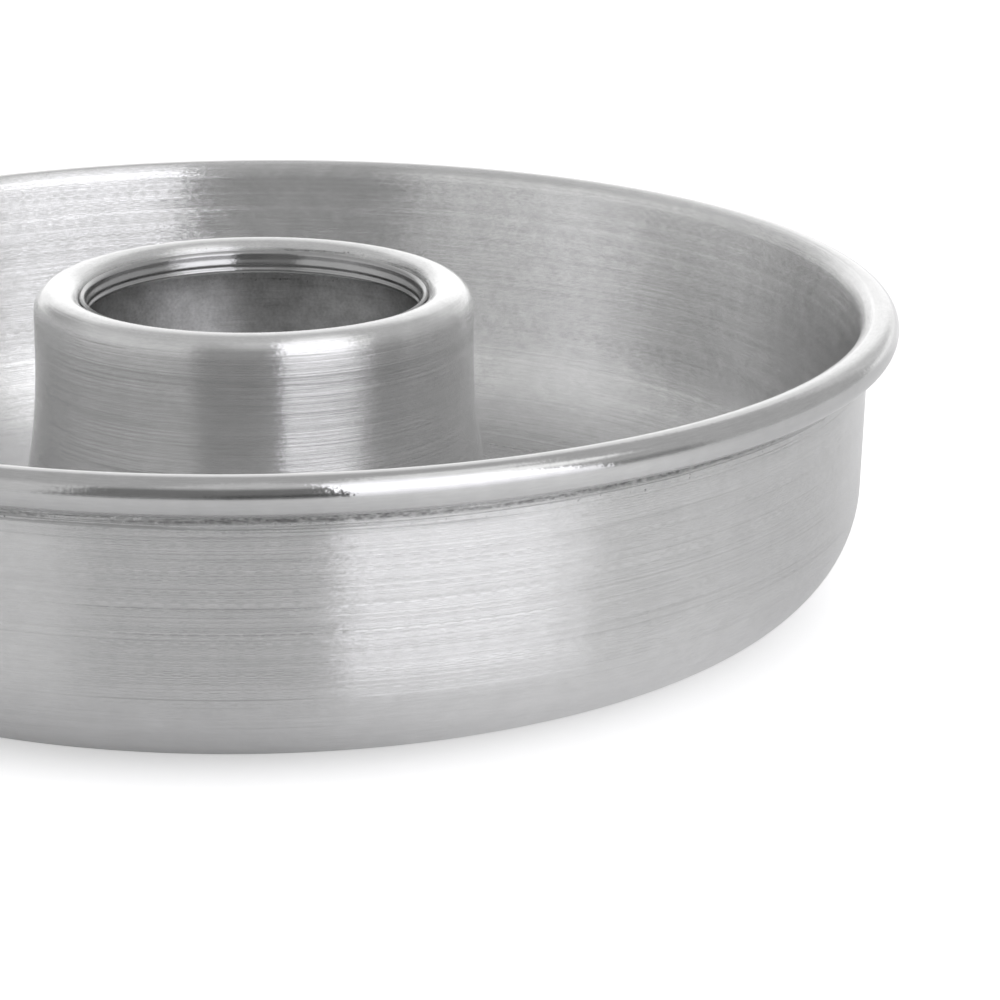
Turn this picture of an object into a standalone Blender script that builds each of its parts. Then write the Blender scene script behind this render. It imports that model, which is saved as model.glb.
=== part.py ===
"""Tube pan: a spun ring mould with a wired rim, a flared centre tube and a collar set in the tube's mouth.

Metres, +Z up. The origin is on the axis, in the plane that the floor rests on.
Each sheet piece is a section in the X-Z plane, turned round the Z axis.
"""

import math

import bpy

MM = 0.001

# Sheet, wire and fit
PAN_SHEET = 1.6 * MM
TUBE_SHEET = 1.6 * MM
COLLAR_SHEET = 0.8 * MM
WIRE_DIAMETER = 3.2 * MM
SEAT_GAP = 0.3 * MM

# Pan: overall size, wall and the curl of the rim
RIM_DIAMETER = 240.0 * MM
PAN_HEIGHT = 55.0 * MM
WALL_DRAFT = math.radians(1.7)
CORNER_RADIUS = 22.0 * MM
CURL_EDGE_GAP = 0.3 * MM

# Neck: drawn up round the hole in the floor, inside the tube's foot
NECK_HEIGHT = 16.0 * MM

# Tube: outer size, rolled shoulder, flare and foot
TUBE_DIAMETER = 82.0 * MM
TUBE_HEIGHT = 56.8 * MM
SHOULDER_RADIUS = 4.4 * MM
SHOULDER_TURN = math.radians(184)
FLARE_RADIUS = 114.0 * MM
FLARE_TOP = 44.0 * MM
FOOT_RADIUS = 9.0 * MM
FLANGE_WIDTH = 3.0 * MM

# Collar: lip over the shoulder's slope, bead in the bore and turned-out foot
COLLAR_LIP = math.radians(148)
COLLAR_BEND = 0.3 * MM
COLLAR_FLANGE = 1.2 * MM
BEAD_DEPTH = 0.25 * MM
BEAD_WIDTH = 1.2 * MM
BEAD_DROP = 1.7 * MM

# Facets: round the axis, and along each stretch of a bend
RING_STEPS = 60
WIRE_SIDES = 8
CURL_STEPS = 4
CORNER_STEPS = 6
SHOULDER_STEPS = 4
FLARE_STEPS = 4
FOOT_STEPS = 3
NECK_STEPS = 1
BEAD_STEPS = 4
LIP_STEPS = 3
BEND_STEPS = 3
SHARP_ANGLE = math.radians(40)

# The ways that a face looks in the section at +X
OUT = 0.0
UP = math.pi / 2
LEFT = math.pi
DOWN = 3 * math.pi / 2

# Places that more than one piece is set from
CURL_RADIUS = WIRE_DIAMETER / 2 + SEAT_GAP + PAN_SHEET
CURL_CENTRE = (RIM_DIAMETER / 2 - CURL_RADIUS, PAN_HEIGHT - CURL_RADIUS)
SHOULDER_CENTRE = (TUBE_DIAMETER / 2 - SHOULDER_RADIUS, TUBE_HEIGHT - SHOULDER_RADIUS)
FLARE_CENTRE = (TUBE_DIAMETER / 2 + FLARE_RADIUS, FLARE_TOP)
FLANGE_TOP = PAN_SHEET + SEAT_GAP + TUBE_SHEET
FLARE_END = math.asin((FLARE_TOP - FLANGE_TOP - FOOT_RADIUS) / (FLARE_RADIUS - FOOT_RADIUS))
FOOT_CENTRE = (
    FLARE_CENTRE[0] - (FLARE_RADIUS - FOOT_RADIUS) * math.cos(FLARE_END),
    FLANGE_TOP + FOOT_RADIUS,
)


def station(centre, radius, facing):
    """A point of a sheet's face and the angle that the face looks at.

    A positive radius bends the sheet away from the side it faces, and a negative one towards it.
    """
    return (
        centre[0] + radius * math.cos(facing),
        centre[1] + radius * math.sin(facing),
        facing,
    )


def bend(centre, radius, facings, steps):
    """The stations of a bend through these facing angles, each stretch between two of them in equal steps."""
    stations = [station(centre, radius, facings[0])]
    for start, end in zip(facings, facings[1:]):
        stations += [station(centre, radius, start + (end - start) * i / steps) for i in range(1, steps + 1)]
    return stations


def sheet_outline(face, sheet):
    """The closed outline of a bent sheet: its face, then its back from the far end."""
    front = [(r, z) for r, z, facing in face]
    back = [(r - sheet * math.cos(facing), z - sheet * math.sin(facing)) for r, z, facing in face]
    return front + back[::-1]


def pan_face():
    """The pan's upper side, from the neck's edge out over the floor and up the wall to the curl's edge."""
    under_tube = TUBE_SHEET + SEAT_GAP
    neck_radius = FLARE_RADIUS + under_tube
    neck_edge = math.asin((FLARE_TOP - NECK_HEIGHT) / neck_radius)
    wall_facing = LEFT - WALL_DRAFT
    inner_corner = CORNER_RADIUS - PAN_SHEET
    # The wall's inner side touches the curl's outside and the corner's inside.
    wall_offset = (
        CURL_CENTRE[0] * math.cos(wall_facing) + CURL_CENTRE[1] * math.sin(wall_facing) + CURL_RADIUS
    )
    corner_centre = (
        (CORNER_RADIUS * math.sin(wall_facing) - wall_offset - inner_corner) / -math.cos(wall_facing),
        CORNER_RADIUS,
    )
    curl_bore = CURL_RADIUS - PAN_SHEET
    curl_edge = -math.acos((CURL_EDGE_GAP - curl_bore) / CURL_RADIUS) - WALL_DRAFT
    return (
        bend(FLARE_CENTRE, -neck_radius, (neck_edge, FLARE_END), NECK_STEPS)
        + bend(FOOT_CENTRE, -(FOOT_RADIUS + under_tube), (FLARE_END, UP), FOOT_STEPS)[1:]
        + bend(corner_centre, -inner_corner, (UP, wall_facing), CORNER_STEPS)
        + bend(CURL_CENTRE, CURL_RADIUS, (wall_facing, UP, OUT, curl_edge), CURL_STEPS)
    )


def tube_face():
    """The tube's outer side, from the shoulder's cut edge over the roll and down to the foot flange."""
    roll = bend(SHOULDER_CENTRE, SHOULDER_RADIUS, (SHOULDER_TURN, UP, OUT), SHOULDER_STEPS)
    flare = bend(FLARE_CENTRE, -FLARE_RADIUS, (OUT, FLARE_END), FLARE_STEPS)
    foot = bend(FOOT_CENTRE, -FOOT_RADIUS, (FLARE_END, UP), FOOT_STEPS)
    flange_edge = (FOOT_CENTRE[0] + FLANGE_WIDTH, FLANGE_TOP, UP)
    return roll + flare + foot[1:] + [flange_edge]


def collar_face():
    """The collar's bore side, from the edge of its turned-out foot up to its lip."""
    hug_radius = SHOULDER_RADIUS + SEAT_GAP + COLLAR_SHEET
    cut_edge = SHOULDER_CENTRE[1] + SHOULDER_RADIUS * math.sin(SHOULDER_TURN)
    bend_radius = COLLAR_BEND + COLLAR_SHEET
    bend_centre = (
        SHOULDER_CENTRE[0] - hug_radius + bend_radius,
        cut_edge - SEAT_GAP + COLLAR_BEND,
    )
    flange_edge = (bend_centre[0] + COLLAR_FLANGE, bend_centre[1] - bend_radius, DOWN)
    foot = bend(bend_centre, bend_radius, (DOWN, LEFT), BEND_STEPS)
    lip_height = SHOULDER_CENTRE[1] + hug_radius * math.sin(COLLAR_LIP)
    bead_middle = LEFT - math.asin((lip_height - BEAD_DROP - SHOULDER_CENTRE[1]) / hug_radius)
    half_bead = BEAD_WIDTH / 2 / hug_radius
    bead = []
    for i in range(BEAD_STEPS + 1):
        share = i / BEAD_STEPS
        swell = BEAD_DEPTH * (1 - math.cos(2 * math.pi * share)) / 2
        facing = bead_middle + half_bead * (1 - 2 * share)
        bead.append(station(SHOULDER_CENTRE, hug_radius + swell, facing))
    lip = bend(SHOULDER_CENTRE, hug_radius, (bead_middle - half_bead, COLLAR_LIP), LIP_STEPS)
    return [flange_edge] + foot + bead + lip[1:]


def metal(name, color, roughness):
    material = bpy.data.materials.new(name)
    material.use_nodes = True
    shader = material.node_tree.nodes["Principled BSDF"]
    shader.inputs["Base Color"].default_value = (*color, 1)
    shader.inputs["Metallic"].default_value = 1
    shader.inputs["Roughness"].default_value = roughness
    return material


def finish(piece, material, collection):
    """Smooth shading with crisp cut edges, the piece's material and its collection."""
    piece.data.shade_smooth()
    piece.data.set_sharp_from_angle(angle=SHARP_ANGLE)
    piece.data.materials.append(material)
    for home in list(piece.users_collection):
        home.objects.unlink(piece)
    collection.objects.link(piece)
    return piece


def spun_sheet(name, face, sheet, material, collection):
    """A sheet section turned full circle round the Z axis."""
    outline = sheet_outline(face, sheet)
    count = len(outline)
    profile = bpy.data.meshes.new(name + "_section")
    profile.from_pydata([(r, 0, z) for r, z in outline], [(i, (i + 1) % count) for i in range(count)], [])
    blank = bpy.data.objects.new(name + "_section", profile)
    bpy.context.scene.collection.objects.link(blank)
    spin = blank.modifiers.new("spin", "SCREW")
    spin.axis = "Z"
    spin.angle = 2 * math.pi
    spin.steps = RING_STEPS
    spin.render_steps = RING_STEPS
    spin.use_merge_vertices = True
    spin.merge_threshold = 0.00001
    bpy.context.view_layer.update()
    spun = blank.evaluated_get(bpy.context.evaluated_depsgraph_get())
    piece = bpy.data.objects.new(name, bpy.data.meshes.new_from_object(spun))
    bpy.data.objects.remove(blank)
    bpy.data.meshes.remove(profile)
    return finish(piece, material, collection)


def wire_ring(name, material, collection):
    """The round wire that the rim is curled over."""
    bpy.ops.mesh.primitive_torus_add(
        major_radius=CURL_CENTRE[0],
        minor_radius=WIRE_DIAMETER / 2,
        major_segments=RING_STEPS,
        minor_segments=WIRE_SIDES,
        location=(0, 0, CURL_CENTRE[1]),
    )
    ring = bpy.context.object
    ring.name = name
    ring.data.name = name
    return finish(ring, material, collection)


def clear_scene():
    for piece in list(bpy.data.objects):
        bpy.data.objects.remove(piece)


def build():
    clear_scene()
    pan = bpy.data.collections.new("tube_pan")
    bpy.context.scene.collection.children.link(pan)
    spun_sheet("pan_body", pan_face(), PAN_SHEET, metal("spun_aluminium", (0.78, 0.78, 0.79), 0.32), pan)
    wire_ring("rim_wire", metal("drawn_wire", (0.55, 0.55, 0.56), 0.4), pan)
    spun_sheet("center_tube", tube_face(), TUBE_SHEET, metal("tube_aluminium", (0.76, 0.76, 0.77), 0.3), pan)
    spun_sheet("tube_collar", collar_face(), COLLAR_SHEET, metal("collar_aluminium", (0.8, 0.8, 0.81), 0.22), pan)


build()
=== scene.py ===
"""Tube pan: the finished sheet pieces, their brushed metal, and a plain pale studio round them.

Metres, +Z up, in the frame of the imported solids. The sheet pieces are finer turns of the same sections:
a section is drawn in the X-Z plane and spun round the Z axis.
"""

import math
from collections import namedtuple

import bmesh
import bpy
from mathutils import Matrix, Vector


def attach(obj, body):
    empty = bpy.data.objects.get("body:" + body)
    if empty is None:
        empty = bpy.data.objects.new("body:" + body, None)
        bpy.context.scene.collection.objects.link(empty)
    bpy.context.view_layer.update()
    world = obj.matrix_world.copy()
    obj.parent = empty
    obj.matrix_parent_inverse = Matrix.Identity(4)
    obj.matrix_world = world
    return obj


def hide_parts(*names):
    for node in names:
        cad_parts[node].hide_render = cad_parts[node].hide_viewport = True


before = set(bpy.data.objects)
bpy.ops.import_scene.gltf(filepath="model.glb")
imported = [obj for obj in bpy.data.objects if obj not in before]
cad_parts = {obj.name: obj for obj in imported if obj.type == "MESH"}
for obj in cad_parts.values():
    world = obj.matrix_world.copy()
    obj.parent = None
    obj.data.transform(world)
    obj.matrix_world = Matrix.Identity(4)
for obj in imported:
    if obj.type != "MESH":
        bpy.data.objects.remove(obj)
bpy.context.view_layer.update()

MM = 0.001
MERGE_DISTANCE = 0.001 * MM

# Sheet, wire and fit
PAN_SHEET = 1.6 * MM
TUBE_SHEET = 1.6 * MM
COLLAR_SHEET = 0.6 * MM
WIRE_DIAMETER = 3.2 * MM
SEAT_GAP = 0.3 * MM
EDGE_ROUND = 0.25 * MM

# Pan
RIM_DIAMETER = 240.0 * MM
PAN_HEIGHT = 55.0 * MM
WALL_DRAFT = math.radians(1.7)
CORNER_RADIUS = 22.0 * MM
CURL_EDGE_GAP = 0.3 * MM
NECK_HEIGHT = 16.0 * MM

# Tube
TUBE_DIAMETER = 82.0 * MM
TUBE_HEIGHT = 56.8 * MM
SHOULDER_RADIUS = 4.4 * MM
SHOULDER_TURN = math.radians(184)
FLARE_RADIUS = 114.0 * MM
FLARE_TOP = 44.0 * MM
FOOT_RADIUS = 9.0 * MM
FLANGE_WIDTH = 3.0 * MM

# Collar: its wall in the bore, the foot turned out under the shoulder and the lip folded out over it
COLLAR_FOOT = 51.0 * MM
COLLAR_BORE = 31.3 * MM
COLLAR_LEAN = 0.07
COLLAR_BEND = 0.05 * MM
COLLAR_FLANGE = 1.2 * MM
LIP_HEIGHT = 54.5 * MM
LIP_TURN = math.radians(125)
LIP_FLANGE = 0.5 * MM
RIDGE_DEPTH = 0.35 * MM
RIDGE_CREST = 52.85 * MM
RIDGE_FALL = 0.4 * MM
RIDGE_RISE = 1.15 * MM
FOOT_RISE = 0.65 * MM

# Facets: round the axis, and along each stretch of a bend
RING_STEPS = 240
WIRE_SIDES = 20
CURL_STEPS = 14
CORNER_STEPS = 24
SHOULDER_STEPS = 14
FLARE_STEPS = 24
FOOT_STEPS = 12
NECK_STEPS = 8
RIDGE_STEPS = 8
LIP_STEPS = 8
BEND_STEPS = 6
EDGE_SEGMENTS = 3
SHARP_ANGLE = math.radians(50)

# The ways that a face looks in the section at +X
OUT = 0.0
UP = math.pi / 2
LEFT = math.pi
DOWN = 3 * math.pi / 2

# Places that more than one piece is set from
CURL_RADIUS = WIRE_DIAMETER / 2 + SEAT_GAP + PAN_SHEET
CURL_CENTRE = (RIM_DIAMETER / 2 - CURL_RADIUS, PAN_HEIGHT - CURL_RADIUS)
SHOULDER_CENTRE = (TUBE_DIAMETER / 2 - SHOULDER_RADIUS, TUBE_HEIGHT - SHOULDER_RADIUS)
FLARE_CENTRE = (TUBE_DIAMETER / 2 + FLARE_RADIUS, FLARE_TOP)
FLANGE_TOP = PAN_SHEET + SEAT_GAP + TUBE_SHEET
FLARE_END = math.asin((FLARE_TOP - FLANGE_TOP - FOOT_RADIUS) / (FLARE_RADIUS - FOOT_RADIUS))
FOOT_CENTRE = (
    FLARE_CENTRE[0] - (FLARE_RADIUS - FOOT_RADIUS) * math.cos(FLARE_END),
    FLANGE_TOP + FOOT_RADIUS,
)

# Camera: distance and height angle of the lens from the pan's origin, and the way it looks
CAMERA_DISTANCE = 719.76 * MM
CAMERA_ELEVATION = math.radians(18.463)
CAMERA_YAW = math.radians(3.868)
CAMERA_PITCH = math.radians(17.389)
CAMERA_ROLL = math.radians(0.252)
FOCAL_PIXELS = 3759.3
IMAGE_PIXELS = 1000
SENSOR_WIDTH = 36.0


# Sections


def station(centre, radius, facing):
    """A point of a sheet's face and the angle that the face looks at."""
    return (
        centre[0] + radius * math.cos(facing),
        centre[1] + radius * math.sin(facing),
        facing,
    )


def bend(centre, radius, facings, steps):
    """The stations of a bend through these facing angles, each stretch between two of them in equal steps."""
    stations = [station(centre, radius, facings[0])]
    for start, end in zip(facings, facings[1:]):
        stations += [station(centre, radius, start + (end - start) * i / steps) for i in range(1, steps + 1)]
    return stations


def sheet_outline(face, sheet):
    """The closed outline of a bent sheet: its face, then its back from the far end."""
    front = [(r, z) for r, z, facing in face]
    back = [(r - sheet * math.cos(facing), z - sheet * math.sin(facing)) for r, z, facing in face]
    return front + back[::-1]


def pan_face():
    """The pan's upper side, from the neck's edge out over the floor and up the wall to the curl's edge."""
    under_tube = TUBE_SHEET + SEAT_GAP
    neck_radius = FLARE_RADIUS + under_tube
    neck_edge = math.asin((FLARE_TOP - NECK_HEIGHT) / neck_radius)
    wall_facing = LEFT - WALL_DRAFT
    inner_corner = CORNER_RADIUS - PAN_SHEET
    wall_offset = (
        CURL_CENTRE[0] * math.cos(wall_facing) + CURL_CENTRE[1] * math.sin(wall_facing) + CURL_RADIUS
    )
    corner_centre = (
        (CORNER_RADIUS * math.sin(wall_facing) - wall_offset - inner_corner) / -math.cos(wall_facing),
        CORNER_RADIUS,
    )
    curl_bore = CURL_RADIUS - PAN_SHEET
    curl_edge = -math.acos((CURL_EDGE_GAP - curl_bore) / CURL_RADIUS) - WALL_DRAFT
    return (
        bend(FLARE_CENTRE, -neck_radius, (neck_edge, FLARE_END), NECK_STEPS)
        + bend(FOOT_CENTRE, -(FOOT_RADIUS + under_tube), (FLARE_END, UP), FOOT_STEPS)[1:]
        + bend(corner_centre, -inner_corner, (UP, wall_facing), CORNER_STEPS)
        + bend(CURL_CENTRE, CURL_RADIUS, (wall_facing, UP, OUT, curl_edge), CURL_STEPS)
    )


def tube_face():
    """The tube's outer side, from the shoulder's cut edge over the roll and down to the foot flange."""
    roll = bend(SHOULDER_CENTRE, SHOULDER_RADIUS, (SHOULDER_TURN, UP, OUT), SHOULDER_STEPS)
    flare = bend(FLARE_CENTRE, -FLARE_RADIUS, (OUT, FLARE_END), FLARE_STEPS)
    foot = bend(FOOT_CENTRE, -FOOT_RADIUS, (FLARE_END, UP), FOOT_STEPS)
    flange_edge = (FOOT_CENTRE[0] + FLANGE_WIDTH, FLANGE_TOP, UP)
    return roll + flare + foot[1:] + [flange_edge]


def flank(low, high, swell_low, swell_high):
    """Stations of the collar's wall from one height to the next, as it swells in or draws back."""
    stations = []
    for i in range(RIDGE_STEPS + 1):
        share = i / RIDGE_STEPS
        z = low + (high - low) * share
        swell = swell_low + (swell_high - swell_low) * (1 - math.cos(math.pi * share)) / 2
        growth = (swell_high - swell_low) * math.pi * math.sin(math.pi * share) / 2 / (high - low)
        r = COLLAR_BORE + COLLAR_LEAN * (z - SHOULDER_CENTRE[1]) - swell
        stations.append((r, z, LEFT - math.atan(COLLAR_LEAN - growth)))
    return stations


def collar_face():
    """The collar's bore side, from its turned-out foot's edge up over the ridge to its folded lip's edge."""
    radius = COLLAR_BEND + COLLAR_SHEET
    crest = COLLAR_FOOT + radius
    foot_rise = flank(crest, crest + FOOT_RISE, RIDGE_DEPTH, 0.0)
    ridge_fall = flank(RIDGE_CREST - RIDGE_FALL, RIDGE_CREST, 0.0, RIDGE_DEPTH)
    ridge_rise = flank(RIDGE_CREST, RIDGE_CREST + RIDGE_RISE, RIDGE_DEPTH, 0.0)
    foot_centre = (foot_rise[0][0] + radius, crest)
    flange_edge = (foot_centre[0] + COLLAR_FLANGE, COLLAR_FOOT, DOWN)
    foot = bend(foot_centre, radius, (DOWN, foot_rise[0][2]), BEND_STEPS)
    lip_centre = (ridge_rise[-1][0] + COLLAR_LEAN * (LIP_HEIGHT - ridge_rise[-1][1]) + radius, LIP_HEIGHT)
    lip = bend(lip_centre, radius, (ridge_rise[-1][2], LIP_TURN), LIP_STEPS)
    lip_end_radius, lip_end_height, _ = lip[-1]
    lip_edge = (
        lip_end_radius + LIP_FLANGE * math.sin(LIP_TURN),
        lip_end_height - LIP_FLANGE * math.cos(LIP_TURN),
        LIP_TURN,
    )
    return [flange_edge] + foot + foot_rise[1:] + ridge_fall + ridge_rise[1:] + lip + [lip_edge]


# Turned meshes


def turn_round(bm):
    """Spins what the bmesh holds full circle round the Z axis, as one closed skin that faces out."""
    bmesh.ops.spin(
        bm,
        geom=bm.verts[:] + bm.edges[:],
        cent=(0, 0, 0),
        axis=(0, 0, 1),
        dvec=(0, 0, 0),
        angle=2 * math.pi,
        space=Matrix.Identity(4),
        steps=RING_STEPS,
        use_merge=True,
    )
    bmesh.ops.remove_doubles(bm, verts=bm.verts[:], dist=MERGE_DISTANCE)
    bmesh.ops.recalc_face_normals(bm, faces=bm.faces[:])


def ease_cut_edges(bm):
    """Rounds the edges where a sheet was cut, which are the only sharp ones it has."""
    cut = [e for e in bm.edges if e.calc_face_angle(0) > SHARP_ANGLE]
    bmesh.ops.bevel(
        bm,
        geom=cut,
        offset=EDGE_ROUND,
        offset_type="OFFSET",
        segments=EDGE_SEGMENTS,
        profile=0.5,
        affect="EDGES",
        material=-1,
        clamp_overlap=True,
    )


def piece_from(bm, name, node, material):
    """The finished piece: smooth, riding on the pan's one body in place of its node."""
    for face in bm.faces:
        face.smooth = True
    mesh = bpy.data.meshes.new(name)
    bm.to_mesh(mesh)
    bm.free()
    piece = bpy.data.objects.new(name, mesh)
    bpy.context.scene.collection.objects.link(piece)
    mesh.materials.append(material)
    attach(piece, "root")
    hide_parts(node)
    return piece


def turned_sheet(name, node, face, sheet, material):
    """A bent sheet's section, turned round the axis, with eased cut edges."""
    bm = bmesh.new()
    ring = [bm.verts.new((r, 0, z)) for r, z in sheet_outline(face, sheet)]
    for start, end in zip(ring, ring[1:] + ring[:1]):
        bm.edges.new((start, end))
    turn_round(bm)
    ease_cut_edges(bm)
    return piece_from(bm, name, node, material)


def turned_wire(name, node, material):
    """The round wire inside the rim's curl."""
    bm = bmesh.new()
    across = Matrix.Translation((CURL_CENTRE[0], 0, CURL_CENTRE[1])) @ Matrix.Rotation(math.pi / 2, 4, "X")
    bmesh.ops.create_circle(bm, radius=WIRE_DIAMETER / 2, segments=WIRE_SIDES, matrix=across)
    turn_round(bm)
    return piece_from(bm, name, node, material)


# Node helpers


def link(tree, source, target):
    tree.links.new(source, target)


def feed(tree, socket, value):
    """Links an input to a socket, or sets it to a value."""
    if isinstance(value, bpy.types.NodeSocket):
        link(tree, value, socket)
    else:
        socket.default_value = value


def add(tree, kind, **values):
    """A node with its settings, and its inputs by name."""
    node = tree.nodes.new(kind)
    given = values.pop("inputs", {})
    for name, value in values.items():
        setattr(node, name, value)
    for name, value in given.items():
        feed(tree, node.inputs[name], value)
    return node


def math_node(tree, operation, first, second=0.0, third=0.0):
    """The result of a sum over up to three numbers or sockets."""
    node = add(tree, "ShaderNodeMath", operation=operation)
    for socket, value in zip(node.inputs, (first, second, third)):
        feed(tree, socket, value)
    return node.outputs[0]


def vector_node(tree, operation, first, second=(0, 0, 0), scale=None):
    """The result of a sum over vectors: a number for a dot product or a length, or else a vector."""
    node = add(tree, "ShaderNodeVectorMath", operation=operation)
    for socket, value in zip(node.inputs, (first, second)):
        feed(tree, socket, value)
    if scale is not None:
        feed(tree, node.inputs["Scale"], scale)
    return node.outputs["Value" if operation in ("DOT_PRODUCT", "LENGTH") else "Vector"]


def remap(tree, value, low, high, to_low=0.0, to_high=1.0, smooth=False):
    """The value carried over from one range to another, and held at its ends."""
    node = add(tree, "ShaderNodeMapRange", interpolation_type="SMOOTHSTEP" if smooth else "LINEAR")
    feed(tree, node.inputs["Value"], value)
    for name, bound in (("From Min", low), ("From Max", high), ("To Min", to_low), ("To Max", to_high)):
        feed(tree, node.inputs[name], bound)
    return node.outputs["Result"]


def mix_color(tree, factor, first, second):
    """The mix of two colours, each a socket or three numbers."""
    node = add(tree, "ShaderNodeMix", data_type="RGBA")
    feed(tree, node.inputs[0], factor)
    for socket, value in ((node.inputs[6], first), (node.inputs[7], second)):
        feed(tree, socket, value if isinstance(value, bpy.types.NodeSocket) else (*value, 1))
    return node.outputs[2]


def flat_radius(tree, split):
    """The distance from the axis of a place that was split into X, Y and Z, and its flat part."""
    flat = add(tree, "ShaderNodeCombineXYZ", inputs={"X": split.outputs["X"], "Y": split.outputs["Y"]})
    return vector_node(tree, "LENGTH", flat.outputs[0]), flat.outputs[0]


def node_group(name, inputs, outputs):
    """An empty shader node group with named sockets, each given as (name, kind) or (name, kind, value)."""
    tree = bpy.data.node_groups.new(name, "ShaderNodeTree")
    for row in inputs:
        socket = tree.interface.new_socket(row[0], in_out="INPUT", socket_type="NodeSocket" + row[1])
        if len(row) > 2:
            socket.default_value = row[2]
    for socket_name, kind in outputs:
        tree.interface.new_socket(socket_name, in_out="OUTPUT", socket_type="NodeSocket" + kind)
    return tree, tree.nodes.new("NodeGroupInput").outputs, tree.nodes.new("NodeGroupOutput").inputs


def place(tree, group, **inputs):
    """A node group placed in a tree, with its inputs by socket name, spaces written as underscores."""
    node = tree.nodes.new("ShaderNodeGroup")
    node.node_tree = group
    for name, value in inputs.items():
        feed(tree, node.inputs[name.replace("_", " ")], value)
    return node.outputs


# Shared effects

# Grains of the metal: rings per metre, turns of change, detail and shift
FINE_GRAIN = (2600.0, 1.6, 3.0, 11.0)
BROAD_GRAIN = (420.0, 1.2, 4.0, 7.0)
WAVE_GRAIN = (1500.0, 5.0, 2.0, 3.0)
SCRATCH_GRAIN = (1300.0, 1.1, 4.0, 31.0)
GRIT_GRAIN = (3800.0, 45.0, 1.0, 53.0)
PATCH_GRAIN = (1300.0, 2.6, 3.0, 23.0)
BREAK_GRAIN = (2800.0, 130.0, 2.0, 41.0)
GRAIN_ROUGHNESS = 0.6

# Noises with no direction
PEEL_SCALE = 1700.0
PEEL_DETAIL = 2.0
CLOUD_SCALE = 260.0
CLOUD_DETAIL = 4.0

# Streaks: how much of them is fine grain, and where the noise starts and ends to turn the light sideways
FINE_SHARE = 0.6
SPREAD_RANGE = (0.46, 0.62)
LEAST_SPREAD = 0.02

# Scratches: where the noise starts and ends to count as one, and what is left of them towards the axis
SCRATCH_RANGE = (0.55, 0.66)
SCRATCHES_INSIDE = 0.3
SCRATCH_TONE = 0.97

# How far the normal leans along the brushing and tips across it, in radians
WAVE_LEAN = 0.025
PEEL_LEAN = 0.045
STREAK_TIP = 0.08

# The part of a noise's range that a swing of tone or roughness uses, and how far it swings
NOISE_RANGE = (0.3, 0.7)
TONE_SWING = 0.03
ROUGHNESS_SWING = 0.08
MOTTLE_RANGE = (-0.4, 0.4)

# Dirt and painted shade: the way from the axis to where there is most of them, how much more there is there,
# and how patchy they are
DARKER_SIDE = (0.7, -0.7, 0.0)
DARKER_SIDE_EXTRA = 0.2
PATCH_RANGE = (0.48, 0.66)
FAINTEST = 0.2
BREAK_RANGE = (0.35, 0.62)
BETWEEN_BREAKS = 0.35
SCORE_RANGE = (0.48, 0.58)
SPECK_DENSITY = (0.5, 0.9)
SPECK_DARKNESS = 0.8
DIRT_AND_SHADE_TONE = 0.06
DIRT_ROUGHNESS = 0.3

# Specks: the noise level that they start at, how far Amount lowers it, and how soft they end
SPECK_SCALE = 1300.0
SPECK_DETAIL = 3.0
SPECK_ROUGHNESS = 0.7
SPECK_LEVEL = 0.74
SPECK_GAIN = 0.22
SPECK_SOFT = 0.16

# Hairlines: how many to a metre, and the places in the random field that their draws start from
HAIRS_PER_METRE = 150000.0
TILT_DRAW = (0.0, 0.0, 0.5)
JOG_DRAW = (7.5, 3.5, 2.5)
SECOND_DRAW = (17.5, 41.5, 5.5)

# How straight a face looks at the axis to be wholly and not at all inside, as a cosine
WHOLLY_INSIDE = -0.97
NOT_INSIDE = -0.6

# The brushing runs square to the shader's own tangent
QUARTER_TURN = 0.25

# The width over which a ring's zone ends at its least radius
LEAST_RADIUS_SOFT = 0.8 * MM


def ring_grain_group():
    """Noise drawn out round the axis: fine across the rings, long along them."""
    tree, given, out = node_group(
        "ring_grain",
        [
            ("Place", "Vector"),
            ("Rings per Metre", "Float", 2000.0),
            ("Turns of Change", "Float", 6.0),
            ("Detail", "Float", 3.0),
            ("Shift", "Float", 0.0),
        ],
        [("Grain", "Float")],
    )
    split = add(tree, "ShaderNodeSeparateXYZ", inputs={"Vector": given["Place"]})
    radius, flat = flat_radius(tree, split)
    bearing = vector_node(tree, "NORMALIZE", flat)
    around = vector_node(tree, "SCALE", bearing, scale=given["Turns of Change"])
    height = math_node(tree, "MULTIPLY", split.outputs["Z"], given["Rings per Metre"])
    height = math_node(tree, "ADD", height, given["Shift"])
    lift = add(tree, "ShaderNodeCombineXYZ", inputs={"Z": height})
    where = vector_node(tree, "ADD", around, lift.outputs[0])
    across = math_node(tree, "MULTIPLY", radius, given["Rings per Metre"])
    noise = add(
        tree,
        "ShaderNodeTexNoise",
        noise_dimensions="4D",
        inputs={
            "Vector": where,
            "W": across,
            "Scale": 1.0,
            "Detail": given["Detail"],
            "Roughness": GRAIN_ROUGHNESS,
        },
    )
    link(tree, noise.outputs["Fac"], out["Grain"])
    return tree


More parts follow.
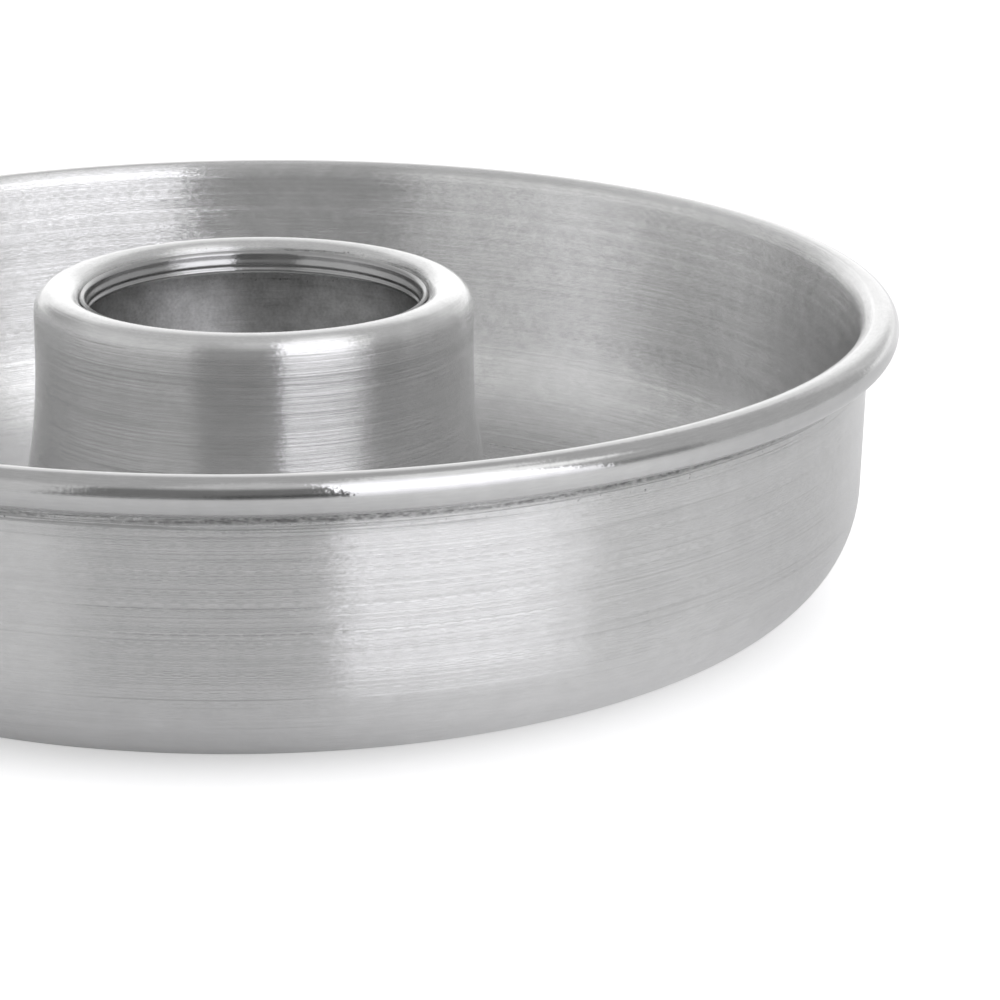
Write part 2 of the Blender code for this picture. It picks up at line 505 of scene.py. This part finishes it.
def hair_tilt_group():
    """The tilt across the brush, and the jog along it, of hairlines too fine to see one by one."""
    tree, given, out = node_group(
        "hair_tilt",
        [("Place", "Vector"), ("Hairs per Metre", "Float", HAIRS_PER_METRE)],
        [("Tilt", "Float"), ("Jog", "Float")],
    )
    split = add(tree, "ShaderNodeSeparateXYZ", inputs={"Vector": given["Place"]})
    radius, _ = flat_radius(tree, split)
    per_metre = given["Hairs per Metre"]
    ring = math_node(tree, "FLOOR", math_node(tree, "MULTIPLY", radius, per_metre))
    level = math_node(tree, "FLOOR", math_node(tree, "MULTIPLY", split.outputs["Z"], per_metre))
    hair = add(tree, "ShaderNodeCombineXYZ", inputs={"X": ring, "Y": level})
    for name, draw in (("Tilt", TILT_DRAW), ("Jog", JOG_DRAW)):
        one = vector_node(tree, "ADD", hair.outputs[0], draw)
        other = vector_node(tree, "ADD", one, SECOND_DRAW)
        first = add(tree, "ShaderNodeTexWhiteNoise", noise_dimensions="3D", inputs={"Vector": one})
        second = add(tree, "ShaderNodeTexWhiteNoise", noise_dimensions="3D", inputs={"Vector": other})
        link(tree, math_node(tree, "SUBTRACT", first.outputs["Value"], second.outputs["Value"]), out[name])
    return tree


def brush_line_group():
    """A normal tipped across the brush lines, by Tip in radians, and turned along them by Lean."""
    tree, given, out = node_group(
        "brush_lines",
        [("Place", "Vector"), ("Normal", "Vector"), ("Tip", "Float", 0.0), ("Lean", "Float", 0.0)],
        [("Normal", "Vector")],
    )
    along = vector_node(tree, "NORMALIZE", vector_node(tree, "CROSS_PRODUCT", (0, 0, 1), given["Place"]))
    across = vector_node(tree, "NORMALIZE", vector_node(tree, "CROSS_PRODUCT", given["Normal"], along))
    tipped = vector_node(tree, "ADD", given["Normal"], vector_node(tree, "SCALE", across, scale=given["Tip"]))
    leant = vector_node(tree, "ADD", tipped, vector_node(tree, "SCALE", along, scale=given["Lean"]))
    link(tree, vector_node(tree, "NORMALIZE", leant), out["Normal"])
    return tree


def ring_zone_group():
    """How near a place lies to a ring, in the section: 1 inside the inner distance, and 0 past the outer.

    Nothing nearer the axis than the least radius counts.
    """
    tree, given, out = node_group(
        "ring_zone",
        [
            ("Place", "Vector"),
            ("Ring Radius", "Float", 0.1),
            ("Ring Height", "Float", 0.05),
            ("Inner", "Float", 0.003),
            ("Outer", "Float", 0.004),
            ("Least Radius", "Float", 0.0),
        ],
        [("Zone", "Float")],
    )
    split = add(tree, "ShaderNodeSeparateXYZ", inputs={"Vector": given["Place"]})
    radius, _ = flat_radius(tree, split)
    sideways = math_node(tree, "SUBTRACT", radius, given["Ring Radius"])
    upward = math_node(tree, "SUBTRACT", split.outputs["Z"], given["Ring Height"])
    offset = add(tree, "ShaderNodeCombineXYZ", inputs={"X": sideways, "Y": upward})
    distance = vector_node(tree, "LENGTH", offset.outputs[0])
    near = remap(tree, distance, given["Inner"], given["Outer"], 1.0, 0.0, smooth=True)
    limit = math_node(tree, "ADD", given["Least Radius"], LEAST_RADIUS_SOFT)
    beyond = remap(tree, radius, given["Least Radius"], limit, 0.0, 1.0, smooth=True)
    link(tree, math_node(tree, "MULTIPLY", near, beyond), out["Zone"])
    return tree


def facing_axis_group():
    """1 where the face looks at the axis, 0 where it looks up, down or away."""
    tree, given, out = node_group(
        "facing_axis", [("Place", "Vector"), ("Normal", "Vector")], [("Inside", "Float")]
    )
    flat = vector_node(tree, "NORMALIZE", vector_node(tree, "MULTIPLY", given["Place"], (1, 1, 0)))
    outward = vector_node(tree, "DOT_PRODUCT", given["Normal"], flat)
    link(tree, remap(tree, outward, WHOLLY_INSIDE, NOT_INSIDE, 1.0, 0.0, smooth=True), out["Inside"])
    return tree


def speck_group():
    """Small dark specks with ragged edges, denser where Amount is high."""
    tree, given, out = node_group(
        "specks",
        [("Place", "Vector"), ("Specks per Metre", "Float", SPECK_SCALE), ("Amount", "Float", 0.5)],
        [("Speck", "Float")],
    )
    noise = add(
        tree,
        "ShaderNodeTexNoise",
        inputs={
            "Vector": given["Place"],
            "Scale": given["Specks per Metre"],
            "Detail": SPECK_DETAIL,
            "Roughness": SPECK_ROUGHNESS,
        },
    )
    level = math_node(tree, "SUBTRACT", SPECK_LEVEL, math_node(tree, "MULTIPLY", given["Amount"], SPECK_GAIN))
    soft = math_node(tree, "ADD", level, SPECK_SOFT)
    link(tree, remap(tree, noise.outputs["Fac"], level, soft, smooth=True), out["Speck"])
    return tree


# A ring that was burnished smooth, and the shares of the brushing, the roughness and the colour left there.
# The ring is given by its radius and height, the distances from it inside which it is whole and past which it
# ends, and the least radius that counts.
Burnish = namedtuple("Burnish", "radius height inner outer least brushing roughness color")

# A ring that holds dirt, and in some places painted shade as well, given in the same way, and how dark it is,
# plain and in the scratches
DirtAndShade = namedtuple("DirtAndShade", "radius height inner outer least darkness scored")


def brushed_metal(name, groups, outside, inside, rough, hair_tip, scatter, mottle=0.0, calm=None, dirt_and_shade_rings=()):
    """Metal brushed round the axis.

    outside and inside are its colours away from the axis and towards it, and rough is its roughness there.
    scatter is how far the streaks turn the mirrored light sideways, again away from the axis and towards it.
    hair_tip is how far the hairlines tilt the light, on the plain metal and in the scratches.
    mottle is how blotchy the colour towards the axis is.
    calm is a burnished ring, and the dirt and shade rings are the rings that hold dirt and painted shade.
    """
    material = bpy.data.materials.new(name)
    material.use_nodes = True
    tree = material.node_tree
    shader = tree.nodes["Principled BSDF"]
    where = add(tree, "ShaderNodeTexCoord").outputs["Object"]
    normal = add(tree, "ShaderNodeNewGeometry").outputs["Normal"]

    def grain(rings, turns, detail, shift):
        return place(
            tree,
            groups["grain"],
            Place=where,
            Rings_per_Metre=rings,
            Turns_of_Change=turns,
            Detail=detail,
            Shift=shift,
        )["Grain"]

    def noise(scale, detail):
        inputs = {"Vector": where, "Scale": scale, "Detail": detail}
        return add(tree, "ShaderNodeTexNoise", inputs=inputs).outputs["Fac"]

    def zone(ring):
        return place(
            tree,
            groups["zone"],
            Place=where,
            Ring_Radius=ring.radius,
            Ring_Height=ring.height,
            Inner=ring.inner,
            Outer=ring.outer,
            Least_Radius=ring.least,
        )["Zone"]

    def product(first, *others):
        for other in others:
            first = math_node(tree, "MULTIPLY", first, other)
        return first

    def total(first, *others):
        for other in others:
            first = math_node(tree, "ADD", first, other)
        return first

    def greater(first, second):
        return math_node(tree, "MAXIMUM", first, second)

    def between(share, start, end):
        return remap(tree, share, 0.0, 1.0, start, end)

    def swing(value, amount, value_range=NOISE_RANGE):
        return remap(tree, value, *value_range, 1.0 - amount, 1.0 + amount)

    strength = dullness = tint = 1.0
    if calm:
        burnished = zone(calm)
        strength = between(burnished, 1.0, calm.brushing)
        dullness = between(burnished, 1.0, calm.roughness)
        tint = between(burnished, 1.0, calm.color)

    # The grains that the brushing is made of
    fine = grain(*FINE_GRAIN)
    broad = grain(*BROAD_GRAIN)
    wavy = grain(*WAVE_GRAIN)
    scratches = grain(*SCRATCH_GRAIN)
    within = place(tree, groups["facing"], Place=where, Normal=normal)["Inside"]
    sideways = between(within, *scatter)
    hairs = place(tree, groups["hairs"], Place=where)
    peel = noise(PEEL_SCALE, PEEL_DETAIL)
    cloud = noise(CLOUD_SCALE, CLOUD_DETAIL)
    streaks = total(product(fine, FINE_SHARE), product(broad, 1.0 - FINE_SHARE))
    scratched = product(
        remap(tree, scratches, *SCRATCH_RANGE, smooth=True),
        between(within, 1.0, SCRATCHES_INSIDE),
    )

    # The normal: it leans along the brushing and tips across it
    streak = remap(tree, streaks, *SPREAD_RANGE, smooth=True)
    spread = math_node(tree, "MULTIPLY_ADD", streak, sideways, LEAST_SPREAD)
    lean = total(
        product(hairs["Jog"], spread, strength),
        between(wavy, -WAVE_LEAN, WAVE_LEAN),
        between(peel, -PEEL_LEAN, PEEL_LEAN),
    )
    hairline = product(hairs["Tilt"], between(scratched, *hair_tip))
    tip = product(total(hairline, between(streaks, -STREAK_TIP, STREAK_TIP)), strength)
    brushed = place(tree, groups["lines"], Place=where, Normal=normal, Tip=tip, Lean=lean)["Normal"]

    # The colour and the roughness
    color = mix_color(tree, within, outside, inside)
    grit = grain(*GRIT_GRAIN)
    tone = product(
        swing(streaks, TONE_SWING),
        swing(cloud, TONE_SWING),
        swing(grit, TONE_SWING),
        between(product(scratched, strength), 1.0, SCRATCH_TONE),
        swing(product(total(cloud, peel, -1.0), within), mottle, MOTTLE_RANGE),
        tint,
    )
    roughness = product(between(within, *rough), swing(fine, ROUGHNESS_SWING), dullness)

    # The dirt and painted shade: a dark film, which is dirt in some rings and painted shade with dirt in
    # others, the scratches that dirt has filled, and specks of dirt
    if dirt_and_shade_rings:
        patches = grain(*PATCH_GRAIN)
        breaks = grain(*BREAK_GRAIN)
        side = vector_node(tree, "DOT_PRODUCT", vector_node(tree, "NORMALIZE", where), DARKER_SIDE)
        patches = total(patches, product(side, DARKER_SIDE_EXTRA))
        patchy_amount = remap(tree, patches, *PATCH_RANGE, FAINTEST, 1.0, smooth=True)
        darkening = score = held = 0.0
        for row in dirt_and_shade_rings:
            ring = zone(row)
            darkening = greater(darkening, product(ring, row.darkness))
            score = greater(score, product(ring, row.scored))
            held = greater(held, ring)
        density = product(held, between(patchy_amount, *SPECK_DENSITY))
        speck = place(tree, groups["specks"], Place=where, Amount=density)["Speck"]
        darkening = product(darkening, patchy_amount, remap(tree, breaks, *BREAK_RANGE, BETWEEN_BREAKS, 1.0))
        score = product(score, patchy_amount, remap(tree, fine, *SCORE_RANGE, smooth=True))
        dirt_and_shade = greater(greater(darkening, score), product(speck, held, SPECK_DARKNESS))
        # Darkens the colour by the dirt and by the shade painted into the creases, the crevice and under the
        # collar
        tone = product(tone, between(dirt_and_shade, 1.0, DIRT_AND_SHADE_TONE))
        roughness = math_node(tree, "MULTIPLY_ADD", dirt_and_shade, DIRT_ROUGHNESS, roughness)

    link(tree, vector_node(tree, "SCALE", color, scale=tone), shader.inputs["Base Color"])
    link(tree, roughness, shader.inputs["Roughness"])
    shader.inputs["Metallic"].default_value = 1.0
    shader.inputs["Anisotropic"].default_value = 1.0
    shader.inputs["Anisotropic Rotation"].default_value = QUARTER_TURN
    tangent = add(tree, "ShaderNodeTangent", direction_type="RADIAL", axis="Z")
    link(tree, tangent.outputs[0], shader.inputs["Tangent"])
    link(tree, brushed, shader.inputs["Normal"])
    return material


# Studio


def panel_group():
    """How much of a soft panel lies this way, by its middle bearing, half width, lowest and highest angle."""
    tree, given, out = node_group(
        "panel_mask",
        [
            ("Way", "Vector"),
            ("Bearing", "Float", 0.0),
            ("Half Width", "Float", 20.0),
            ("Lowest", "Float", 0.0),
            ("Highest", "Float", 60.0),
            ("Side Soft", "Float", 3.0),
            ("End Soft", "Float", 8.0),
        ],
        [("Mask", "Float")],
    )
    split = add(tree, "ShaderNodeSeparateXYZ", inputs={"Vector": given["Way"]})
    to_degrees = 180 / math.pi
    towards = math_node(tree, "MULTIPLY", split.outputs["Y"], -1.0)
    angle = math_node(tree, "ARCTAN2", split.outputs["X"], towards)
    angle = math_node(tree, "MULTIPLY", angle, to_degrees)
    off = math_node(tree, "WRAP", math_node(tree, "SUBTRACT", angle, given["Bearing"]), 180.0, -180.0)
    off = math_node(tree, "ABSOLUTE", off)
    edge = math_node(tree, "ADD", given["Half Width"], given["Side Soft"])
    inner = math_node(tree, "SUBTRACT", given["Half Width"], given["Side Soft"])
    sideways = remap(tree, off, inner, edge, 1.0, 0.0, smooth=True)
    height = math_node(tree, "MULTIPLY", math_node(tree, "ARCSINE", split.outputs["Z"]), to_degrees)
    from_low = remap(
        tree,
        height,
        math_node(tree, "SUBTRACT", given["Lowest"], given["End Soft"]),
        math_node(tree, "ADD", given["Lowest"], given["End Soft"]),
        smooth=True,
    )
    to_high = remap(
        tree,
        height,
        math_node(tree, "SUBTRACT", given["Highest"], given["End Soft"]),
        math_node(tree, "ADD", given["Highest"], given["End Soft"]),
        1.0,
        0.0,
        smooth=True,
    )
    mask = math_node(tree, "MULTIPLY", math_node(tree, "MULTIPLY", sideways, from_low), to_high)
    link(tree, mask, out["Mask"])
    return tree


# A soft panel, in degrees: its bearing (0 is the camera's side, and right is positive), half width, lowest
# and highest angle, how soft its sides and its ends are, and how bright it is
Panel = namedtuple("Panel", "bearing half_width lowest highest side_soft end_soft level")

ROOM_LEVEL = 0.58
PANELS = {
    "left_wall": Panel(-70.0, 37.0, -20.0, 52.0, 9.0, 7.0, 0.78),
    "left_ledge": Panel(-106.0, 50.0, -20.0, 8.0, 8.0, 3.0, 1.1),
    "left_corner": Panel(-142.0, 14.0, 9.0, 36.0, 6.0, 4.0, 0.38),
    "right_corner": Panel(146.0, 18.0, -20.0, 34.0, 6.0, 5.0, 0.78),
    "right_ledge": Panel(144.0, 28.0, -20.0, 7.0, 6.0, 3.0, 1.2),
    "back_wall": Panel(180.0, 28.0, -20.0, 42.0, 6.0, 5.0, 1.1),
    "back_ledge": Panel(176.0, 18.0, -20.0, 22.0, 5.0, 4.0, 1.35),
    "right_wall": Panel(96.0, 37.0, -20.0, 52.0, 6.0, 6.0, 0.57),
    "beside_box": Panel(71.0, 10.0, -20.0, 18.0, 5.0, 4.0, 0.33),
    "high_right": Panel(86.0, 46.0, 65.0, 80.0, 8.0, 4.0, 1.15),
    "above_box": Panel(68.0, 14.0, 42.0, 65.0, 5.0, 5.0, 1.5),
    "ceiling_front": Panel(-2.0, 22.0, 55.0, 90.0, 8.0, 5.0, 0.78),
    "camera_side": Panel(-9.0, 24.0, -20.0, 50.0, 5.0, 5.0, 0.24),
    "camera_stand": Panel(4.0, 13.0, -20.0, 18.0, 5.0, 5.0, 0.09),
}
# The big soft box: its foot, its whole face, the hot middle of the face and the table edge before it
BOX_PANELS = {
    "foot": Panel(38.0, 23.0, -20.0, 20.0, 0.8, 4.0, 1.5),
    "face": Panel(36.2, 21.2, 16.0, 72.0, 0.8, 5.0, 1.5),
    "middle": Panel(36.2, 21.2, 20.0, 58.0, 0.8, 6.0, 2.15),
    "edge": Panel(38.0, 23.0, -20.0, 6.0, 0.8, 3.0, 1.2),
}
BOX_TINT = (1.0, 0.995, 1.03)
WHITE = (1.0, 1.0, 1.0)

# The floor: half its side, its own colour and finish, and how bright it is to the camera and in the metal
FLOOR_SIZE = 6.0
FLOOR_COLOR = 0.8
FLOOR_ROUGHNESS = 0.9
FLOOR_SPECULAR = 0.1
FLOOR_SEEN = 0.62
FLOOR_MIRRORED = 0.125

# The wedges of the floor that are brighter in the metal, under the box and behind the pan
UNDER_BOX = Panel(36.2, 24.0, -20.0, 20.0, 18.0, 4.0, 0.18)
BEHIND_PAN = Panel(164.0, 34.0, -20.0, 20.0, 8.0, 4.0, 0.2)

# A faint shadow painted round the pan's foot, by lowering the floor's glow to the camera
PAINTED_SHADOW_INNER = 106.0 * MM
PAINTED_SHADOW_OUTER = 122.0 * MM
PAINTED_SHADOW_DEPTH = 0.12


def panel_mask(tree, group, way, panel):
    """How much of the panel lies this way."""
    return place(
        tree,
        group,
        Way=way,
        Bearing=panel.bearing,
        Half_Width=panel.half_width,
        Lowest=panel.lowest,
        Highest=panel.highest,
        Side_Soft=panel.side_soft,
        End_Soft=panel.end_soft,
    )["Mask"]


def studio_world(group):
    """The pale room that the metal mirrors, with its panels and the soft box, and white to the camera."""
    world = bpy.data.worlds.new("studio")
    world.use_nodes = True
    bpy.context.scene.world = world
    tree = world.node_tree
    background = tree.nodes["Background"]
    way = add(tree, "ShaderNodeTexCoord").outputs["Generated"]
    light = (ROOM_LEVEL,) * 3
    for tint, panels in ((WHITE, PANELS), (BOX_TINT, BOX_PANELS)):
        for panel in panels.values():
            mask = panel_mask(tree, group, way, panel)
            light = mix_color(tree, mask, light, [panel.level * share for share in tint])
    seen = add(tree, "ShaderNodeLightPath").outputs["Is Camera Ray"]
    link(tree, mix_color(tree, seen, light, WHITE), background.inputs["Color"])


def studio_floor(group):
    """Pale paper that is white to the camera, keeps the pan's faint real shadow with a painted shadow round
    its foot, and glows a little in the metal.
    """
    bm = bmesh.new()
    bmesh.ops.create_grid(bm, x_segments=1, y_segments=1, size=FLOOR_SIZE)
    mesh = bpy.data.meshes.new("studio_floor")
    bm.to_mesh(mesh)
    bm.free()
    floor = bpy.data.objects.new("studio_floor", mesh)
    bpy.context.scene.collection.objects.link(floor)
    material = bpy.data.materials.new("pale_paper")
    material.use_nodes = True
    tree = material.node_tree
    shader = tree.nodes["Principled BSDF"]
    shader.inputs["Base Color"].default_value = (FLOOR_COLOR, FLOOR_COLOR, FLOOR_COLOR, 1)
    shader.inputs["Roughness"].default_value = FLOOR_ROUGHNESS
    shader.inputs["Specular IOR Level"].default_value = FLOOR_SPECULAR
    shader.inputs["Emission Color"].default_value = (*WHITE, 1)
    light_path = add(tree, "ShaderNodeLightPath")
    where = add(tree, "ShaderNodeTexCoord").outputs["Object"]
    way = vector_node(tree, "NORMALIZE", where)
    under_box = panel_mask(tree, group, way, UNDER_BOX)
    behind = panel_mask(tree, group, way, BEHIND_PAN)
    seen = math_node(
        tree, "MAXIMUM", light_path.outputs["Is Camera Ray"], light_path.outputs["Is Transmission Ray"]
    )
    distance = vector_node(tree, "LENGTH", where)
    # Painted shadow: the floor's glow to the camera is lowered in a ring round the pan's foot
    painted_shadow = remap(tree, distance, PAINTED_SHADOW_INNER, PAINTED_SHADOW_OUTER, PAINTED_SHADOW_DEPTH, 0.0, smooth=True)
    shine = math_node(tree, "MULTIPLY_ADD", under_box, UNDER_BOX.level, FLOOR_MIRRORED)
    shine = math_node(tree, "MULTIPLY_ADD", behind, BEHIND_PAN.level, shine)
    glow = math_node(
        tree,
        "ADD",
        math_node(tree, "MULTIPLY", seen, math_node(tree, "SUBTRACT", FLOOR_SEEN, painted_shadow)),
        math_node(tree, "MULTIPLY", light_path.outputs["Is Glossy Ray"], shine),
    )
    link(tree, glow, shader.inputs["Emission Strength"])
    mesh.materials.append(material)


def studio_camera():
    """The camera at the height and distance of the lens, with its turn to the side, its tip and its roll."""
    yaw, pitch, roll = CAMERA_YAW, CAMERA_PITCH, CAMERA_ROLL
    lens_place = Vector(
        (0, -CAMERA_DISTANCE * math.cos(CAMERA_ELEVATION), CAMERA_DISTANCE * math.sin(CAMERA_ELEVATION))
    )
    ahead = Vector(
        (math.sin(yaw) * math.cos(pitch), math.cos(yaw) * math.cos(pitch), -math.sin(pitch))
    )
    level_right = ahead.cross(Vector((0, 0, 1))).normalized()
    level_up = level_right.cross(ahead)
    right = math.cos(roll) * level_right + math.sin(roll) * level_up
    up = -math.sin(roll) * level_right + math.cos(roll) * level_up
    data = bpy.data.cameras.new("camera")
    data.sensor_width = SENSOR_WIDTH
    data.lens = FOCAL_PIXELS / IMAGE_PIXELS * SENSOR_WIDTH
    camera = bpy.data.objects.new("camera", data)
    bpy.context.scene.collection.objects.link(camera)
    turn = Matrix((right, up, -ahead)).transposed().to_4x4()
    camera.matrix_world = Matrix.Translation(lens_place) @ turn
    bpy.context.scene.camera = camera


# Rings of wear, dirt and painted shade

WALL_RADIUS = CURL_CENTRE[0] - CURL_RADIUS + PAN_SHEET
WALL_MIDDLE = WALL_RADIUS - PAN_SHEET / 2
CREVICE_RADIUS = SHOULDER_CENTRE[0] - 3.5 * MM
CREVICE_HEIGHT = SHOULDER_CENTRE[1] + 2.7 * MM

BURNISHED_BEAD = Burnish(
    radius=CURL_CENTRE[0],
    height=CURL_CENTRE[1],
    inner=CURL_RADIUS + 0.1 * MM,
    outer=CURL_RADIUS + 0.8 * MM,
    least=CURL_CENTRE[0] - WIRE_DIAMETER / 2,
    brushing=0.08,
    roughness=0.5,
    color=0.85,
)
BURNISHED_SHOULDER = Burnish(
    radius=SHOULDER_CENTRE[0],
    height=TUBE_HEIGHT,
    inner=2.0 * MM,
    outer=6.0 * MM,
    least=0.0,
    brushing=0.1,
    roughness=0.8,
    color=1.04,
)
# Painted shade with dirt: a dark line in the crease where the curl's edge meets the wall
BEAD_EDGE_DIRT_AND_SHADE = DirtAndShade(
    radius=CURL_CENTRE[0] + 1.1 * MM,
    height=CURL_CENTRE[1] - 3.3 * MM,
    inner=0.2 * MM,
    outer=1.1 * MM,
    least=0.0,
    darkness=0.4,
    scored=0.0,
)
# Painted shade with dirt: a dark band on the wall just under the bead, where the bead shades it
WALL_TOP_DIRT_AND_SHADE = DirtAndShade(
    radius=WALL_RADIUS,
    height=CURL_CENTRE[1] - 4.4 * MM,
    inner=0.5 * MM,
    outer=1.4 * MM,
    least=WALL_MIDDLE,
    darkness=0.75,
    scored=0.0,
)
BELOW_BEAD_DIRT = DirtAndShade(
    radius=WALL_RADIUS,
    height=CURL_CENTRE[1] - 5.6 * MM,
    inner=0.6 * MM,
    outer=3.0 * MM,
    least=WALL_MIDDLE,
    darkness=0.06,
    scored=0.4,
)
FLOOR_FILM = DirtAndShade(
    radius=70.0 * MM,
    height=30.0 * MM,
    inner=30.0 * MM,
    outer=45.0 * MM,
    least=0.0,
    darkness=0.55,
    scored=0.0,
)
# Painted shade with dirt: a dark line in the crevice between the collar's lip and the shoulder
CREVICE_DIRT_AND_SHADE = DirtAndShade(
    radius=CREVICE_RADIUS,
    height=CREVICE_HEIGHT,
    inner=0.3 * MM,
    outer=0.8 * MM,
    least=0.0,
    darkness=0.7,
    scored=0.0,
)
CREVICE_CRUMBS = DirtAndShade(
    radius=CREVICE_RADIUS,
    height=CREVICE_HEIGHT,
    inner=1.0 * MM,
    outer=1.8 * MM,
    least=0.0,
    darkness=0.0,
    scored=0.0,
)
# Painted shade with specks of dirt: darkening on the tube's inside under the collar's foot
UNDER_COLLAR_DIRT_AND_SHADE = DirtAndShade(
    radius=TUBE_DIAMETER / 2 - TUBE_SHEET,
    height=COLLAR_FOOT - 2.7 * MM,
    inner=0.8 * MM,
    outer=2.6 * MM,
    least=0.0,
    darkness=0.3,
    scored=0.0,
)


# Pieces


def pan_metal(groups):
    """Bright outside and paler inside, with a burnished bead, and dirt with painted shade under it."""
    return brushed_metal(
        "pan_metal",
        groups,
        outside=(0.68, 0.68, 0.68),
        inside=(0.83, 0.83, 0.828),
        rough=(0.22, 0.24),
        hair_tip=(0.8, 1.25),
        scatter=(0.05, 0.1),
        mottle=0.025,
        calm=BURNISHED_BEAD,
        dirt_and_shade_rings=(BEAD_EDGE_DIRT_AND_SHADE, WALL_TOP_DIRT_AND_SHADE, BELOW_BEAD_DIRT, FLOOR_FILM),
    )


def tube_metal(groups):
    """Satin outside and dull in the bore, with a burnished shoulder, and dirt with painted shade round the
    collar.
    """
    return brushed_metal(
        "tube_metal",
        groups,
        outside=(0.7, 0.7, 0.7),
        inside=(0.6, 0.6, 0.6),
        rough=(0.22, 0.45),
        hair_tip=(0.8, 2.2),
        scatter=(0.05, 0.2),
        mottle=0.2,
        calm=BURNISHED_SHOULDER,
        dirt_and_shade_rings=(CREVICE_DIRT_AND_SHADE, CREVICE_CRUMBS, UNDER_COLLAR_DIRT_AND_SHADE),
    )


def plain_metal(name, groups, color, roughness):
    """Metal of one colour, hardly brushed."""
    return brushed_metal(
        name,
        groups,
        outside=color,
        inside=color,
        rough=(roughness, roughness),
        hair_tip=(0.1, 0.1),
        scatter=(0.1, 0.1),
    )


def main():
    groups = {
        "grain": ring_grain_group(),
        "hairs": hair_tilt_group(),
        "lines": brush_line_group(),
        "zone": ring_zone_group(),
        "facing": facing_axis_group(),
        "specks": speck_group(),
    }
    pan = pan_metal(groups)
    tube = tube_metal(groups)
    collar = plain_metal("collar_metal", groups, (0.43, 0.43, 0.43), 0.2)
    wire = plain_metal("wire_metal", groups, (0.5, 0.5, 0.505), 0.3)
    turned_sheet("pan_shell", "pan_body", pan_face(), PAN_SHEET, pan)
    turned_wire("curl_wire", "rim_wire", wire)
    turned_sheet("tube_shell", "center_tube", tube_face(), TUBE_SHEET, tube)
    turned_sheet("collar_shell", "tube_collar", collar_face(), COLLAR_SHEET, collar)
    studio_camera()
    panels = panel_group()
    studio_world(panels)
    studio_floor(panels)
    bpy.context.scene.view_settings.view_transform = "Standard"


main()
